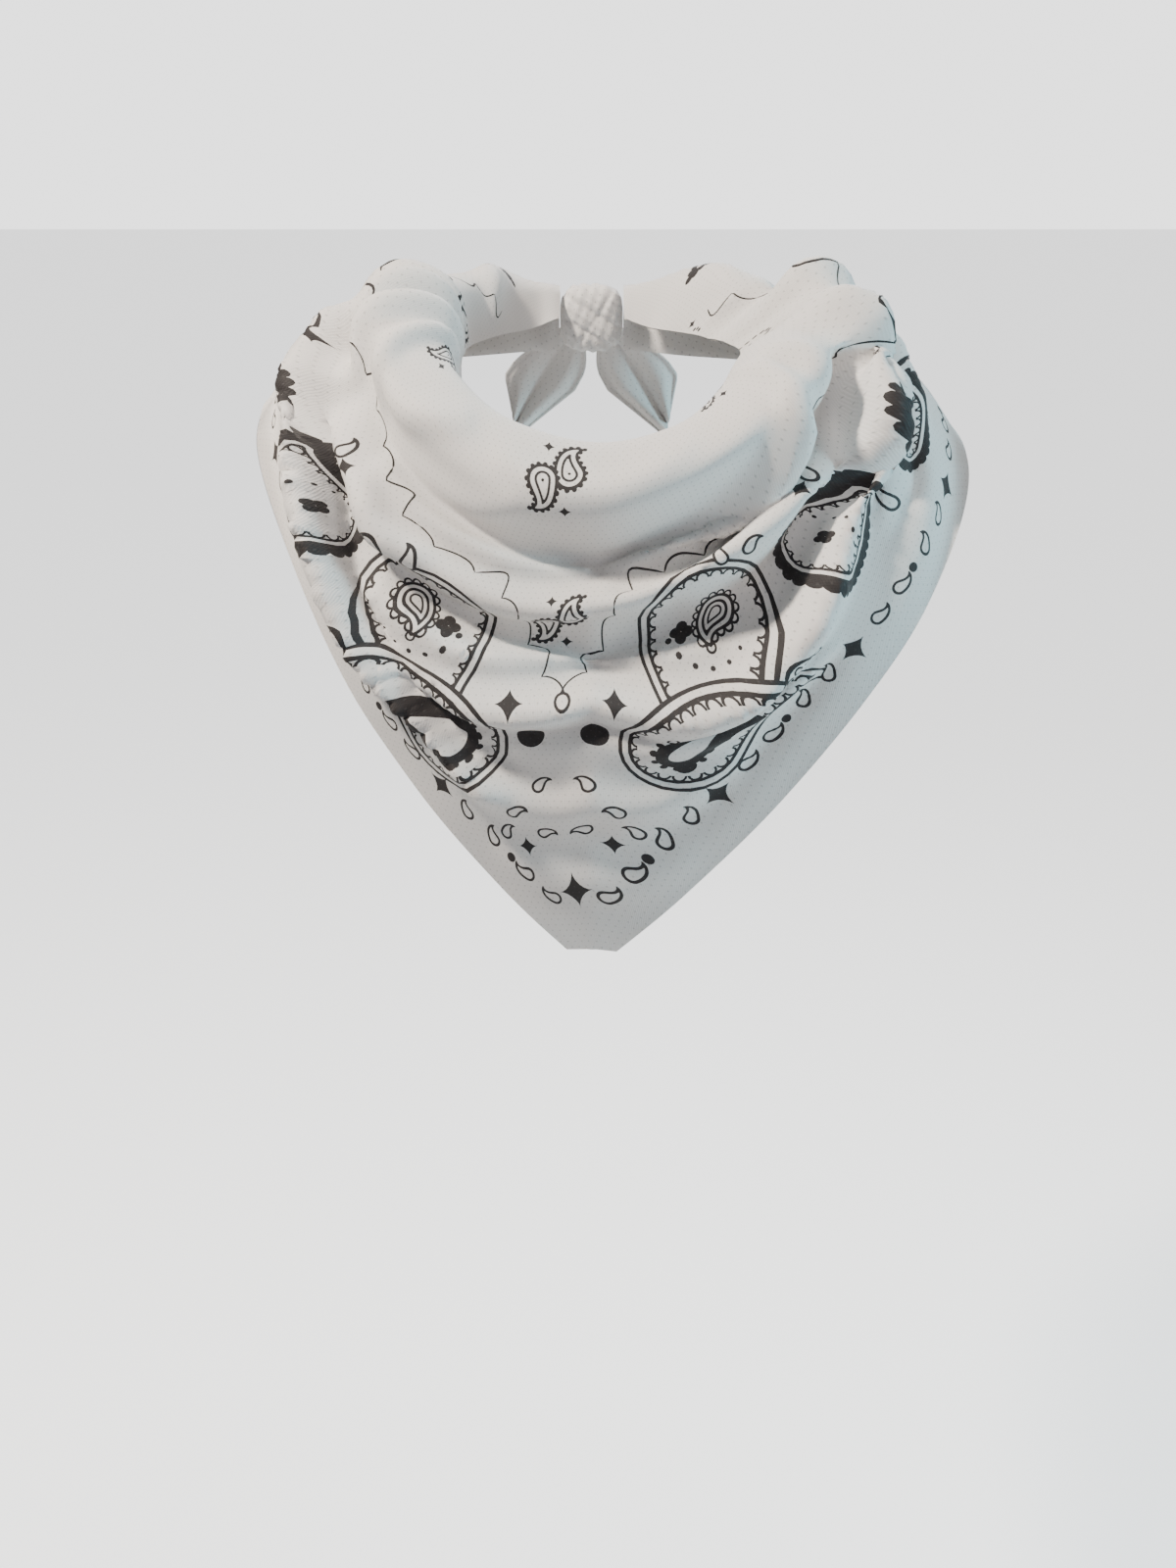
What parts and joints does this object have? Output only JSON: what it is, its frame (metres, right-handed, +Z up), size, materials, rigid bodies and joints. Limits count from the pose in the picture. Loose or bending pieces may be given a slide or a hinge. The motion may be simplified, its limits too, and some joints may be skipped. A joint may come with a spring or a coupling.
{
  "type": "bandana",
  "caption": "Square printed jersey bandana folded to a triangle, worn round a neck in soft cowl folds with the point at the front and a knot behind.",
  "frame": {"origin": "on the axis of the neck that the bandana is worn round, at the height where the cloth rests on the neck and shoulders", "axes": "+Z up, the printed front towards -Y, +X towards the wearer's left, which is the viewer's right"},
  "size_m": [0.337, 0.2402, 0.3013],
  "materials": {
    "printed_jersey": "white pin-hole polyester jersey with a black paisley print, matt with a soft sheen",
    "plain_jersey": "the same white jersey where it is gathered in the knot and tails"
  },
  "bodies": {
    "root": {"front_drape": "printed_jersey", "left_wrap": "printed_jersey", "right_wrap": "printed_jersey", "knot": "plain_jersey", "left_tail": "plain_jersey", "right_tail": "plain_jersey"}
  },
  "joints": []
}
